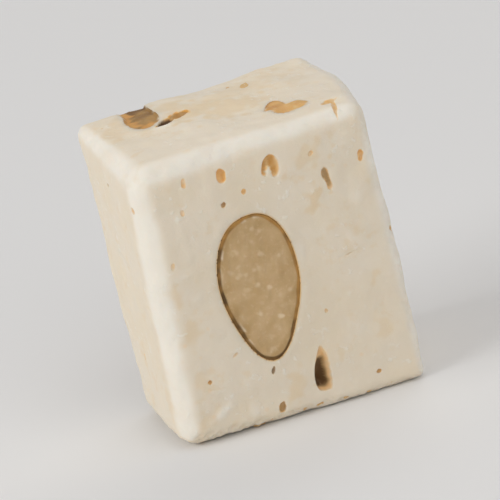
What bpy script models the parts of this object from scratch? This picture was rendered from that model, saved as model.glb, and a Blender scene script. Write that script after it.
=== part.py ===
"""Nougat piece: a hand-cut block of pale nougat, standing on its end.

The knife went through whole nuts, so their cut faces lie flush in the faces of the block. Each nut
is a solid of its own in a pocket of the block, and air bubbles leave small open pits.

Metres, +Z up. The origin is the middle of the underside. The broad front face, where the large
almond shows, looks along -Y. Right is +X.
"""

import math

import bmesh
import bpy
from mathutils import Matrix, Vector

MM = 0.001

# ---------------------------------------------------------------- the block, in millimetres
HEIGHT = 38.4
WIDTH_AT_BASE = 33.0
WIDTH_AT_TOP = 31.8
# The back isn't square to the front: the depth differs at each upright edge.
DEPTH_LEFT_BASE = 19.2
DEPTH_RIGHT_BASE = 22.0
DEPTH_LEFT_TOP = 23.4
DEPTH_RIGHT_TOP = 24.0

# Rounding at each corner, keyed by (right, back, top). It changes evenly from corner to corner.
CORNER_RADIUS = {
    (0, 0, 0): 2.8, (0, 0, 1): 3.0,
    (1, 0, 0): 1.3, (1, 0, 1): 1.8,
    (0, 1, 0): 3.2, (0, 1, 1): 1.3,
    (1, 1, 0): 1.6, (1, 1, 1): 1.8,
}
MEAN_RADIUS = 2.1

# How far the middle of each face swells. The underside stays flat.
SWELL = {"front": 0.15, "back": 0.30, "left": 0.10, "right": 0.90, "top": 0.20}
SWELL_AT_BASE = 0.4      # share of the sideways swell that is left at the bottom edge
RIPPLE = 0.10            # soft unevenness of every face but the underside
RIPPLE_LENGTH = 13.0

ARC_STEPS = 3            # mesh steps in half a rounded edge
FLAT_STEPS = (11, 8, 13)  # mesh steps between the rounded edges, along X, Y and Z

# ---------------------------------------------------------------- nuts and pits, in millimetres
GAP = 0.3                # between a nut and its pocket
RECESS = 0.12            # the nut's cut face below the nougat around it
BLUNT = 0.10             # how much a nut narrows towards both ends
RINGS = 12
SEGMENTS = 20

# Nut shapes: (length, width, thickness, taper). Taper narrows one end, as on an almond.
WHOLE_ALMOND = (19.8, 10.1, 8.4, 0.24)
LONG_ALMOND = (22.4, 7.6, 7.0, 0.16)
SMALL_ALMOND = (15.2, 8.8, 7.0, 0.20)
HAZELNUT = (12.8, 12.2, 10.6, 0.04)
HALF_NUT = (9.4, 5.8, 7.0, 0.05)
NUT_CHIP = (6.2, 3.2, 3.4, -0.20)
NUT_PIECE = (9.6, 7.4, 5.0, 0.12)

# Each nut: name, shape, face, place across and up that face from its middle, turn in degrees,
# and the further faces and edges that cut it.
NUTS = (
    ("almond_front", WHOLE_ALMOND, "front", -2.4, -0.5, 1.5, ()),
    ("nut_top_back", HALF_NUT, "top", -7.4, 7.0, -12.0, (("back",), ("top", "back"))),
    ("nut_top_front", NUT_CHIP, "top", 7.0, -4.4, 118.0, ()),
    ("almond_right", LONG_ALMOND, "right", -1.0, 1.8, -24.0, ()),
    ("hazelnut_back", HAZELNUT, "back", 5.0, 6.2, 30.0, ()),
    ("almond_back", SMALL_ALMOND, "back", -6.6, -7.4, 148.0, ()),
    ("nut_base", NUT_PIECE, "base", -8.6, 1.5, 64.0, ()),
)

# Open pits: face, across, up, length, width, depth, turn.
PITS = (
    ("front", 3.0, -13.7, 6.4, 2.4, 3.4, 182.0),
    ("front", -4.5, 15.6, 2.3, 1.5, 1.2, 8.0),
    ("front", 2.3, 14.8, 2.9, 2.2, 1.3, 8.0),
    ("front", 9.1, 10.8, 2.9, 0.9, 0.9, 0.0),
    ("right", 4.8, 10.4, 3.4, 1.4, 1.4, 20.0),
    ("back", -8.6, 10.2, 3.2, 1.8, 1.6, 40.0),
)

CREAM = (0.83, 0.78, 0.67, 1.0)
ALMOND_FLESH = (0.57, 0.43, 0.26, 1.0)
ROASTED_FLESH = (0.72, 0.50, 0.26, 1.0)

# Each face: the axis that runs across it and its direction, the axis that runs up it, the axis
# that it closes and the end that it closes.
FACES = {
    "front": (0, 1, 2, 1, 0),
    "back": (0, -1, 2, 1, 1),
    "right": (1, 1, 2, 0, 1),
    "top": (0, 1, 1, 2, 1),
    "base": (0, -1, 1, 2, 0),
}
MEAN_SIZE = (
    (WIDTH_AT_BASE + WIDTH_AT_TOP) / 2,
    (DEPTH_LEFT_BASE + DEPTH_RIGHT_BASE + DEPTH_LEFT_TOP + DEPTH_RIGHT_TOP) / 4,
    HEIGHT,
)


# ---------------------------------------------------------------- the block's surface
def mix(low, high, part):
    return low + (high - low) * part


def corner_place(right, back, top):
    """Sharp corner of the block, before its edges are rounded."""
    half_width = mix(WIDTH_AT_BASE, WIDTH_AT_TOP, top) / 2
    depth_left = mix(DEPTH_LEFT_BASE, DEPTH_LEFT_TOP, top)
    depth_right = mix(DEPTH_RIGHT_BASE, DEPTH_RIGHT_TOP, top)
    x = mix(-half_width, half_width, right)
    y = back * mix(depth_left, depth_right, right)
    return Vector((x, y, HEIGHT * top))


def blend_corners(value_at, place):
    """Even blend of a value given at the eight corners."""
    total = None
    for right in (0, 1):
        for back in (0, 1):
            for top in (0, 1):
                share = 1.0
                for side, part in zip((right, back, top), place):
                    share *= part if side else 1.0 - part
                term = value_at(right, back, top) * share
                total = term if total is None else total + term
    return total


def unevenness(point, place):
    """Swell of the faces and a soft ripple. It fades out towards the flat underside."""
    x, y, z = (value / RIPPLE_LENGTH * math.tau for value in point)
    bow = [4.0 * part * (1.0 - part) for part in place]
    rise = min(1.0, place[2] * 4.0)
    swell_x = mix(-SWELL["left"], SWELL["right"], place[0]) * bow[1]
    swell_x *= mix(SWELL_AT_BASE, 1.0, place[2])
    swell_y = mix(-SWELL["front"], SWELL["back"], place[1]) * bow[0] * bow[2]
    swell_z = SWELL["top"] * place[2] * bow[0] * bow[1]
    ripple_x = RIPPLE * math.sin(0.7 * y + 1.1) * math.sin(0.6 * z + 0.4)
    ripple_y = RIPPLE * math.sin(0.6 * x + 2.0) * math.sin(0.5 * z + 1.3)
    ripple_z = RIPPLE * math.sin(0.8 * x + 0.3) * math.sin(0.7 * y + 2.2) * place[2]
    return Vector((swell_x + ripple_x * rise, swell_y + ripple_y * rise, swell_z + ripple_z))


def surface_point(place, arc):
    """Point of the rounded block.

    place runs from 0 to 1 between the rounded edges on each axis. arc runs from -1 to 1 over each
    axis and is 0 between the rounded edges, so it turns the outward direction round an edge.
    """
    radius = blend_corners(lambda *key: CORNER_RADIUS[key], place)
    outward = Vector([math.tan(part * math.pi / 4) for part in arc]).normalized()
    outer = blend_corners(corner_place, place)
    inset = Vector([radius * (1.0 - 2.0 * part) for part in place])
    point = outer + inset + outward * radius
    return point + unevenness(point, place)


def axis_stations(flat_steps):
    """Mesh stations along one axis, as (place, arc)."""
    rise = [(0.0, step / ARC_STEPS - 1.0) for step in range(ARC_STEPS)]
    flat = [(step / flat_steps, 0.0) for step in range(flat_steps + 1)]
    fall = [(1.0, (step + 1) / ARC_STEPS) for step in range(ARC_STEPS)]
    return rise + flat + fall


def shell_points(stations):
    """The outer points of the mesh, keyed by their station numbers."""
    last = [len(axis) - 1 for axis in stations]
    points = {}
    for i, (place_x, arc_x) in enumerate(stations[0]):
        for j, (place_y, arc_y) in enumerate(stations[1]):
            for k, (place_z, arc_z) in enumerate(stations[2]):
                if i in (0, last[0]) or j in (0, last[1]) or k in (0, last[2]):
                    place = (place_x, place_y, place_z)
                    points[i, j, k] = surface_point(place, (arc_x, arc_y, arc_z))
    return points


def shell_faces(stations):
    """The four corners of every mesh face, over the six sides of the block."""
    last = [len(axis) - 1 for axis in stations]
    for normal in range(3):
        across, up = [axis for axis in range(3) if axis != normal]
        for end in (0, last[normal]):
            for a in range(last[across]):
                for b in range(last[up]):
                    corners = []
                    for step_a, step_b in ((0, 0), (1, 0), (1, 1), (0, 1)):
                        key = [0, 0, 0]
                        key[normal] = end
                        key[across] = a + step_a
                        key[up] = b + step_b
                        corners.append(tuple(key))
                    yield corners


def centring():
    """Shift that brings the middle of the block's outline to the origin."""
    points = shell_points([axis_stations(steps) for steps in FLAT_STEPS]).values()
    shift = [-(min(p[axis] for p in points) + max(p[axis] for p in points)) / 2 for axis in (0, 1)]
    return Vector((shift[0], shift[1], 0.0))


CENTRING = centring()


# ---------------------------------------------------------------- placing things on a face
def place_on(face, across, up):
    """Place between the rounded edges of a point that lies across and up from a face's middle."""
    axis_a, direction, axis_b, side, end = FACES[face]
    place = [0.5, 0.5, 0.5]
    place[axis_a] += direction * across / (MEAN_SIZE[axis_a] - 2 * MEAN_RADIUS)
    place[axis_b] += up / (MEAN_SIZE[axis_b] - 2 * MEAN_RADIUS)
    place[side] = float(end)
    return place


def on_faces(faces, place):
    """Point on a face, or on the rounded edge between two faces."""
    place, arc = list(place), [0.0, 0.0, 0.0]
    for face in faces:
        side, end = FACES[face][3:]
        place[side] = float(end)
        arc[side] = 2.0 * end - 1.0
    return surface_point(place, arc) + CENTRING


def face_frame(face, across, up):
    """Frame on a face, in metres: X across, Z up the face, Y into the block."""
    step = 0.25
    middle = on_faces([face], place_on(face, across, up))
    right = on_faces([face], place_on(face, across + step, up)) - middle
    upward = on_faces([face], place_on(face, across, up + step)) - middle
    right.normalize()
    inward = upward.cross(right).normalized()
    upward = right.cross(inward)
    frame = Matrix((right, inward, upward)).transposed().to_4x4()
    return Matrix.Translation(middle * MM) @ frame


def cut_plane(faces, place):
    """Plane that cuts a nut flush with a face, or with the rounded edge between two faces."""
    outward = Vector((0.0, 0.0, 0.0))
    for face in faces:
        side, end = FACES[face][3:]
        outward[side] = 2.0 * end - 1.0
    outward.normalize()
    point = on_faces(faces, place) - outward * RECESS
    return point * MM, outward


# ---------------------------------------------------------------- nut bodies
def nut_bmesh(length, width, thickness, taper, grow=0.0):
    """Closed nut shape along Z, widest across X, in metres. grow adds to every side."""
    bm = bmesh.new()
    half = [(size / 2 + grow) * MM for size in (width, thickness, length)]
    rings = []
    for ring in range(1, RINGS):
        angle = math.pi * ring / RINGS
        along = math.cos(angle)
        girth = math.sin(angle) * (1.0 + taper * along - BLUNT * along * along)
        loop = []
        for segment in range(SEGMENTS):
            turn = math.tau * segment / SEGMENTS
            x = half[0] * girth * math.cos(turn)
            y = half[1] * girth * math.sin(turn)
            loop.append(bm.verts.new((x, y, half[2] * along)))
        rings.append(loop)
    top = bm.verts.new((0.0, 0.0, half[2]))
    bottom = bm.verts.new((0.0, 0.0, -half[2]))
    for index in range(SEGMENTS):
        after = (index + 1) % SEGMENTS
        bm.faces.new((top, rings[0][index], rings[0][after]))
        bm.faces.new((bottom, rings[-1][after], rings[-1][index]))
        for upper, lower in zip(rings, rings[1:]):
            bm.faces.new((upper[index], lower[index], lower[after], upper[after]))
    return bm


def knife_cut(bm, point, outward):
    """Cut away what lies outside a plane, and close the cut."""
    geometry = bm.verts[:] + bm.edges[:] + bm.faces[:]
    bmesh.ops.bisect_plane(bm, geom=geometry, plane_co=point, plane_no=outward, clear_outer=True)
    rim = [edge for edge in bm.edges if edge.is_boundary]
    bmesh.ops.holes_fill(bm, edges=rim, sides=0)


def add_object(name, bm, material, matrix=None):
    """Put a mesh in the scene as one object."""
    mesh = bpy.data.meshes.new(name)
    bm.to_mesh(mesh)
    bm.free()
    mesh.shade_smooth()
    mesh.set_sharp_from_angle(angle=math.radians(40))
    if material is not None:
        mesh.materials.append(material)
    item = bpy.data.objects.new(name, mesh)
    bpy.context.scene.collection.objects.link(item)
    if matrix is not None:
        item.location = matrix.to_translation()
        item.rotation_euler = matrix.to_euler()
    return item


def subtract(block, name, bm, matrix):
    """Cut a shape out of the block. The cutter itself is only a guide."""
    cutter = add_object(name, bm, None, matrix)
    cutter.hide_render = True
    cutter.display_type = "WIRE"
    cut = block.modifiers.new(name, "BOOLEAN")
    cut.operation = "DIFFERENCE"
    cut.solver = "EXACT"
    cut.object = cutter


def add_nut(block, nut, material):
    """One nut, cut flush with the faces of the block, and its pocket."""
    name, shape, face, across, up, turn, more_cuts = nut
    matrix = face_frame(face, across, up) @ Matrix.Rotation(math.radians(turn), 4, "Y")
    into_nut = matrix.inverted()
    bm = nut_bmesh(*shape)
    knife_cut(bm, Vector((0.0, RECESS * MM, 0.0)), Vector((0.0, -1.0, 0.0)))
    for faces in more_cuts:
        point, outward = cut_plane(faces, place_on(face, across, up))
        knife_cut(bm, into_nut @ point, into_nut.to_3x3() @ outward)
    add_object(name, bm, material, matrix)
    subtract(block, "pocket_" + name, nut_bmesh(*shape, grow=GAP), matrix)


def add_pit(block, number, pit):
    """An air bubble that the knife opened."""
    face, across, up, length, width, depth, turn = pit
    matrix = face_frame(face, across, up) @ Matrix.Rotation(math.radians(turn), 4, "Y")
    subtract(block, "pit_%d" % number, nut_bmesh(length, width, 2 * depth, 0.20), matrix)


# ---------------------------------------------------------------- the piece
def principled(name, colour, roughness):
    material = bpy.data.materials.new(name)
    material.use_nodes = True
    shader = material.node_tree.nodes["Principled BSDF"]
    shader.inputs["Base Color"].default_value = colour
    shader.inputs["Roughness"].default_value = roughness
    shader.inputs["Metallic"].default_value = 0.0
    return material


def add_block():
    """The nougat itself, before its pockets are cut."""
    stations = [axis_stations(steps) for steps in FLAT_STEPS]
    bm = bmesh.new()
    points = shell_points(stations)
    verts = {key: bm.verts.new((point + CENTRING) * MM) for key, point in points.items()}
    for corners in shell_faces(stations):
        bm.faces.new([verts[key] for key in corners])
    bmesh.ops.recalc_face_normals(bm, faces=bm.faces[:])
    return add_object("nougat_block", bm, principled("nougat", CREAM, 0.55))


def clear_scene():
    for item in list(bpy.data.objects):
        bpy.data.objects.remove(item)


def main():
    clear_scene()
    block = add_block()
    almond = principled("almond_flesh", ALMOND_FLESH, 0.50)
    roasted = principled("roasted_nut", ROASTED_FLESH, 0.50)
    for nut in NUTS:
        add_nut(block, nut, almond if nut[0].startswith("almond") else roasted)
    for number, pit in enumerate(PITS):
        add_pit(block, number, pit)


main()
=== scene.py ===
"""Looks of a piece of pale nougat with whole nuts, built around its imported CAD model.

The nougat starts as the outer form of the CAD block. It gets knife marks, ragged edges, bubbles
and one pocket for each nut. Each nut is cut flush with it. Most rims are read from the CAD nuts.
Shapes are worked out in millimetres. Across and up on a face count from the middle of the
block's box, its front plane and its underside.
"""

import math

import bmesh
import bpy
import numpy as np
from mathutils import Matrix, Vector
from mathutils.bvhtree import BVHTree
from mathutils.geometry import delaunay_2d_cdt


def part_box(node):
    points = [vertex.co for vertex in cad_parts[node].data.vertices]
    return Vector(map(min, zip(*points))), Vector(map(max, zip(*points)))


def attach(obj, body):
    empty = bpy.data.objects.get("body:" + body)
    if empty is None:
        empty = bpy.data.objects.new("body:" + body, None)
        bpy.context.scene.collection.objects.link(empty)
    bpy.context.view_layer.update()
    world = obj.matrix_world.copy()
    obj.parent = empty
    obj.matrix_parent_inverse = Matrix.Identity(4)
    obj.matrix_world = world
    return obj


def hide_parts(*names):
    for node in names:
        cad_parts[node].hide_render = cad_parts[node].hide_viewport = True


MM = 0.001
SEED = 5

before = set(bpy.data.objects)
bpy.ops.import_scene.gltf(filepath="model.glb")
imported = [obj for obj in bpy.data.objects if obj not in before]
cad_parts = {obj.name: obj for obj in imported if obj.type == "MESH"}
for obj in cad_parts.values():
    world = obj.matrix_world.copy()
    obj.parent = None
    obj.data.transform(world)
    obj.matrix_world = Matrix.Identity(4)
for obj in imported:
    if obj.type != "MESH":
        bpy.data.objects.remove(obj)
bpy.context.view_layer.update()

# ---- the faces of the block
# Each face: the directions across it, up it and out of it.
FACES = {
    "front": ((1, 0, 0), (0, 0, 1), (0, -1, 0)),
    "back": ((1, 0, 0), (0, 0, 1), (0, 1, 0)),
    "left": ((0, 1, 0), (0, 0, 1), (-1, 0, 0)),
    "right": ((0, 1, 0), (0, 0, 1), (1, 0, 0)),
    "top": ((1, 0, 0), (0, 1, 0), (0, 0, 1)),
    "base": ((1, 0, 0), (0, 1, 0), (0, 0, -1)),
}
BOX_LOW, BOX_HIGH = (np.array(corner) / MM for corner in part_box("nougat_block"))
DATUM = np.array(((BOX_LOW[0] + BOX_HIGH[0]) / 2, BOX_LOW[1], BOX_LOW[2]))

# ---- mesh sizes, in millimetres
FLAT_MESH = 0.40
EDGE_MESH = 0.24
RIM_MESH = 0.10
FINE_RIM_MESH = 0.05  # at the rims of small bubbles
MESH_GROWTH = 0.45  # how fast the mesh may coarsen away from a rim
MESH_MARGIN = 1.2  # how far around a rim it is fine
RIM_FIELD_MARGIN = 0.5  # how far around a rim it is cut along the rim
MESH_ROUNDS = 3  # how often its edges may be halved
CRISP_EDGE = 0.08  # edges of the block more ragged than this get EDGE_MESH
FORM_PASSES = 14  # of smoothing over the block's outer form

# ---- nuts
# Each nut: CAD node, kind, how ragged its rim is, how far it lies below the nougat, where its
# skin is darkest, and where pale nougat fills the gap inside the skin (degrees round the nut).
# A broken nut has skin only near that darkest place, and pale nougat smeared over its rim.
NUTS = (
    ("almond_front", "almond", 0.008, 0.04, 215.0, (2.0, 225.0, 299.0)),
    ("almond_right", "toasted", 0.015, 0.04, 120.0, (30.0, 200.0)),
    ("almond_back", "almond", 0.020, 0.04, 20.0, (150.0,)),
    ("nut_top_back", "browned", 0.030, 0.30, 225.0, (77.0,)),
    ("nut_top_front", "roasted", 0.010, -0.02, 20.0, ()),
    ("hazelnut_back", "roasted", 0.030, 0.04, 90.0, (230.0,)),
    ("nut_base", "roasted", 0.060, 0.10, 10.0, ()),
)
NUT_CLEARANCE = 0.03  # between the nut's rim and the nougat
BROKEN_CLEARANCE = -0.05  # a broken nut's rim lies a little under the nougat
POCKET_CLEARANCE = 0.12  # between the nut's body and its pocket, deep down

# Broken nuts whose rims run unevenly, through places across and up on each face in turn.
BROKEN_RIMS = {
    "nut_top_back": {
        "top": ((-10.5, 20.6), (-10.9, 17.8), (-10.5, 15.4), (-9.3, 13.9), (-8.1, 13.7),
                (-7.1, 14.7), (-6.6, 16.6), (-6.5, 18.8), (-6.7, 21.2)),
        "back": ((-6.6, 36.9), (-6.7, 35.6), (-7.4, 34.7), (-8.7, 34.6), (-9.9, 34.3),
                 (-10.7, 35.3), (-10.8, 36.9)),
    },
    "nut_top_front": {
        "top": ((4.6, 7.2), (5.4, 8.9), (6.4, 9.9), (7.1, 9.4), (7.35, 8.2), (7.9, 7.4),
                (9.2, 7.1), (10.0, 5.6), (9.5, 4.9), (8.4, 4.5), (7.3, 4.4), (6.1, 4.7),
                (5.5, 5.6), (5.2, 6.7)),
    },
}

# ---- bubbles
# Each: face, across, up, length, width, depth, turn, amber, and painted shade in its depths.
# The amber of a bubble is partly nut bits and partly painted warm bounce light in the hollow.
BUBBLES = (
    ("front", -4.38, 34.76, 2.0, 1.25, 0.50, 12.0, 0.60, 0.00),
    ("front", -1.97, 31.75, 0.8, 0.65, 0.25, 0.0, 0.45, 0.00),
    ("front", -4.92, 30.91, 0.8, 0.65, 0.45, 30.0, 0.30, 0.16),
    ("front", 13.87, 31.65, 1.7, 0.80, 0.40, 10.0, 0.50, 0.00),
    ("front", -9.28, 35.20, 1.4, 0.65, 0.18, 10.0, 0.30, 0.00),
    ("front", -10.27, 31.50, 0.9, 0.60, 0.18, 0.0, 0.25, 0.00),
    ("front", -3.11, 2.28, 1.7, 0.95, 0.50, 14.0, 0.40, 0.25),
    ("front", 1.75, 0.85, 0.8, 1.10, 0.30, 0.0, 0.45, 0.12),
    ("front", -11.65, 8.57, 0.6, 0.55, 0.30, 0.0, 0.50, 0.10),
    ("front", 10.12, 2.92, 0.6, 0.75, 0.30, 0.0, 0.45, 0.15),
    ("front", -3.36, 7.60, 1.1, 0.55, 0.35, 20.0, 0.25, 0.30),
    ("front", 7.50, 34.00, 0.9, 0.60, 0.12, 40.0, 0.30, 0.00),
    ("front", -13.00, 25.00, 1.0, 0.60, 0.12, 10.0, 0.22, 0.00),
    ("front", -7.70, 11.15, 0.9, 0.45, 0.12, 60.0, 0.20, 0.05),
    ("front", 5.03, 13.10, 0.6, 0.50, 0.15, 0.0, 0.25, 0.05),
    ("front", 9.25, 19.45, 3.0, 0.22, 0.07, 81.0, 0.10, 0.00),
    ("top", 12.05, 3.75, 2.2, 1.00, 0.22, 82.0, 0.42, 0.08),
    ("top", 12.30, 2.10, 3.6, 0.70, 0.20, 12.0, 0.36, 0.06),
    ("left", 2.20, 32.90, 1.1, 0.60, 0.25, 10.0, 0.35, 0.05),
    ("left", 11.40, 10.05, 0.8, 0.60, 0.20, 0.0, 0.30, 0.05),
    ("right", 16.80, 29.60, 2.8, 1.30, 1.30, 20.0, 0.60, 0.30),
    ("back", 8.60, 29.40, 2.6, 1.70, 1.40, 40.0, 0.55, 0.30),
    ("back", 12.60, 17.30, 1.6, 0.90, 0.70, 15.0, 0.45, 0.25),
    ("back", -12.70, 8.40, 1.4, 1.00, 0.60, 60.0, 0.50, 0.15),
    ("right", 5.30, 33.60, 1.5, 1.00, 0.60, 25.0, 0.50, 0.15),
)
# Small bubbles scattered over each face.
PORES = {"back": 16, "left": 1, "right": 13, "top": 1, "base": 10}
PORE_LENGTH = (0.35, 0.95)
PORE_POWER = 1.3  # makes short ones commoner
PORE_WIDTH = (0.5, 1.0)  # share of the length
PORE_DEPTH = 0.45  # share of the width
# amber of the pores: painted warm bounce light
PORE_AMBER = (0.08, 0.45)
# painted shade deep in the pores
PORE_SHADE = (0.0, 0.25)

# Bubbles of uneven shape: face, rim through places across and up, deepest place, depth,
# steepness, amber, painted shade in its depths, and a tongue of nougat that reaches into it, if any.
ODD_BUBBLES = (
    ("front", ((3.25, 8.85), (3.85, 7.60), (4.00, 5.60), (3.98, 3.80), (3.65, 2.75), (2.90, 2.60),
               (2.10, 2.85), (1.75, 3.70), (1.75, 5.20), (2.10, 6.60), (2.75, 8.00)),
     (2.16, 3.75), 2.2, 1.0, 0.40, 0.60, None),
    ("front", ((0.80, 33.05), (0.90, 34.10), (1.45, 35.10), (2.40, 35.50), (3.10, 34.80),
               (3.25, 33.60), (2.70, 32.35), (1.85, 32.50)),
     (1.60, 34.55), 0.50, 2.6, 0.66, 0.12, (1.68, 33.00, 2.3, 0.85, 0.0)),
    ("front", ((8.30, 31.30), (8.80, 31.70), (9.25, 31.10), (9.30, 29.90), (9.45, 28.90),
               (9.15, 28.35), (8.75, 28.65), (8.60, 29.60), (8.25, 30.40)),
     (8.80, 30.70), 0.50, 1.2, 0.36, 0.28, None),
    ("top", ((-8.10, 13.05), (-7.65, 13.90), (-7.05, 14.65), (-6.35, 14.70), (-5.80, 14.60),
             (-5.40, 13.95), (-5.90, 13.25), (-6.65, 12.95), (-7.35, 12.60)),
     (-6.70, 13.60), 1.1, 2.0, 0.80, 0.92, None),
    ("top", ((-5.95, 14.50), (-5.40, 15.50), (-4.30, 16.00), (-3.00, 15.20), (-3.80, 14.00),
             (-5.20, 13.60)),
     (-4.70, 14.70), 0.26, 2.0, 0.86, 0.30, None),
)

# ---- soft marks on the faces
# Each: face, across, up, length, width, turn, height.
SMEARS = (
    ("front", -10.60, 4.10, 3.0, 1.0, 55.0, 0.21),
    ("front", -6.60, 2.60, 2.6, 0.9, 30.0, 0.10),
    ("left", 11.80, 23.10, 7.0, 2.2, 69.0, -0.22),
    ("front", 12.60, 12.50, 5.0, 1.8, 20.0, -0.08),
    ("top", -1.00, 7.00, 9.0, 3.0, 96.0, -0.10),
    ("top", -7.00, 12.10, 1.6, 0.8, 95.0, 0.20),
    ("right", 6.50, 8.50, 8.0, 2.4, 35.0, -0.22),
    ("right", 15.00, 24.00, 5.0, 1.6, 75.0, 0.14),
    ("back", -9.00, 14.00, 7.5, 2.6, 15.0, -0.24),
    ("back", 6.50, 25.00, 6.0, 1.6, 70.0, 0.14),
    ("back", -3.50, 5.00, 5.0, 1.8, 100.0, -0.18),
)
# Small soft bumps and dents scattered over each face.
FLECKS = {"front": 34, "back": 34, "left": 22, "right": 22, "top": 26}
FLECK_LENGTH = (1.0, 2.6)
FLECK_WIDTH = (0.4, 0.8)  # share of the length
FLECK_HEIGHT = (0.03, 0.07)
# Yellowish stains, and on the top mostly painted warm shade: face, across, up, length, width, turn,
# strength.
STAINS_AND_WARM_SHADE = (
    ("front", 6.60, 27.80, 3.2, 1.5, 20.0, 0.80),
    ("front", 6.80, 33.70, 4.4, 2.2, 60.0, 0.55),
    ("front", -13.50, 21.20, 3.0, 1.6, 0.0, 0.60),
    ("front", -12.60, 15.60, 3.8, 2.6, 30.0, 0.55),
    ("front", -12.50, 8.70, 3.6, 2.4, 0.0, 0.45),
    ("front", -0.90, 4.60, 4.4, 1.8, 25.0, 0.60),
    ("front", 12.10, 8.60, 3.4, 2.0, 10.0, 0.50),
    ("front", 11.00, 22.20, 2.0, 1.0, 20.0, 0.50),
    ("front", 11.90, 15.00, 1.6, 0.9, 20.0, 0.50),
    ("front", -13.30, 3.20, 5.0, 2.2, 50.0, 0.50),
    ("front", 0.80, 37.40, 3.0, 1.0, 60.0, 0.30),
    ("left", 11.60, 10.00, 3.4, 1.6, 0.0, 0.50),
    ("left", 3.50, 6.50, 5.0, 2.0, 20.0, 0.35),
    # On the top these are mostly painted warm shade.
    ("top", -13.00, 6.60, 2.0, 0.9, 60.0, 0.50),
    ("top", -7.50, 2.20, 1.6, 0.8, 60.0, 0.50),
    ("top", -13.30, 16.00, 5.0, 3.0, 0.0, 0.60),
    ("top", 11.00, 14.00, 6.0, 3.0, 30.0, 0.30),
    ("top", -3.00, 14.50, 10.0, 6.0, 80.0, 0.85),
    ("top", 2.00, 12.00, 9.0, 6.0, 80.0, 0.75),
    ("top", -5.00, 18.60, 5.0, 4.0, 0.0, 0.85),
    ("top", -11.90, 17.80, 5.0, 2.0, 0.0, 0.70),
    ("top", -9.20, 13.60, 4.0, 1.6, 90.0, 0.60),
    ("top", 3.50, 17.00, 14.0, 5.0, 75.0, 0.45),
)

# Crumbs of nut in the surface: face, across, up, length, width, turn.
CRUMBS = (
    ("top", 5.55, 18.40, 1.9, 1.4, 30.0),
    ("top", 3.60, 19.60, 0.8, 0.5, 60.0),
    ("front", -0.20, 0.75, 0.8, 0.45, 80.0),
    ("front", 5.40, 0.70, 0.9, 0.40, 85.0),
    ("front", 8.30, 0.65, 0.7, 0.40, 85.0),
    ("front", 11.60, 0.70, 1.0, 0.40, 85.0),
    ("front", -4.90, 0.70, 0.6, 0.35, 85.0),
)
# Crumbs scattered over each face.
LOOSE_CRUMBS = {"back": 12, "right": 10, "base": 8}
CRUMB_LENGTH = (0.5, 1.9)
CRUMB_POWER = 1.2  # makes short ones commoner
CRUMB_WIDTH = (0.4, 0.8)  # share of the length


# ---- triangle meshes as arrays
def unit(vectors):
    """The vectors at length 1."""
    return vectors / np.maximum(np.linalg.norm(vectors, axis=-1, keepdims=True), 1e-12)


def evaluated(item):
    """Points and triangles of an object as its modifiers leave it."""
    shown = item.evaluated_get(bpy.context.evaluated_depsgraph_get())
    mesh = shown.to_mesh()
    mesh.calc_loop_triangles()
    points = np.empty(len(mesh.vertices) * 3)
    tris = np.empty(len(mesh.loop_triangles) * 3, np.int64)
    mesh.vertices.foreach_get("co", points)
    mesh.loop_triangles.foreach_get("vertices", tris)
    shown.to_mesh_clear()
    return points.reshape(-1, 3), tris.reshape(-1, 3)


def face_normals(points, tris):
    """Normals of the triangles, as long as twice their areas."""
    first, second, third = (points[tris[:, corner]] for corner in range(3))
    return np.cross(second - first, third - first)


def vertex_normals(points, tris):
    """Normals of the vertices, led by the larger triangles round them."""
    normals = np.zeros_like(points)
    faces = face_normals(points, tris)
    for corner in range(3):
        np.add.at(normals, tris[:, corner], faces)
    return unit(normals)


def edge_table(tris, count):
    """Every edge once, as a pair of vertices, and the numbers of each triangle's three edges."""
    pairs = np.sort(tris[:, [[0, 1], [1, 2], [2, 0]]].reshape(-1, 2), axis=1)
    keys, number = np.unique(pairs[:, 0] * count + pairs[:, 1], return_inverse=True)
    return np.stack((keys // count, keys % count), axis=1), number.reshape(-1, 3)


def split_edges(rows, tris, edges, sides, marked, share):
    """Put a vertex on each marked edge, at that share of its length, and split what it borders."""
    added = np.full(len(edges), -1)
    added[marked] = len(rows) + np.arange(marked.sum())
    start, end = rows[edges[marked, 0]], rows[edges[marked, 1]]
    rows = np.vstack((rows, start + (end - start) * share[:, None]))
    middles = added[sides]
    count = (middles >= 0).sum(axis=1)
    kept = [tris[count == 0]]

    def keep(chosen, *corners):
        kept.append(np.stack(corners, axis=1)[chosen])

    for turn in range(3):
        a, b, c = np.roll(tris, -turn, axis=1).T
        ab, bc, ca = np.roll(middles, -turn, axis=1).T
        one = (count == 1) & (ab >= 0)
        keep(one, a, ab, c)
        keep(one, ab, b, c)
        two = (count == 2) & (ca < 0)
        from_a = np.linalg.norm(rows[a, :3] - rows[bc, :3], axis=1)
        from_c = np.linalg.norm(rows[c, :3] - rows[ab, :3], axis=1)
        keep(two, ab, b, bc)
        keep(two & (from_a <= from_c), a, ab, bc)
        keep(two & (from_a <= from_c), a, bc, c)
        keep(two & (from_a > from_c), a, ab, c)
        keep(two & (from_a > from_c), ab, bc, c)
        keep((count == 3) & (turn == 0), ab, bc, ca)
        keep(count == 3, a, ab, ca)
    return rows, np.vstack(kept)


def neighbour_mean(values, edges):
    """Mean of the values at the ends of the edges that meet at each vertex."""
    total = np.zeros_like(values)
    np.add.at(total, edges[:, 0], values[edges[:, 1]])
    np.add.at(total, edges[:, 1], values[edges[:, 0]])
    count = np.bincount(edges.ravel(), minlength=len(values))
    return total / np.maximum(count, 1)[:, None]


def even_out(points, tris, passes):
    """Smooth a mesh without shrinking it: each pass smooths and then swells back."""
    edges = edge_table(tris, len(points))[0]
    for _ in range(passes):
        for weight in (0.50, -0.52):
            points = points + weight * (neighbour_mean(points, edges) - points)
    return points


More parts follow.
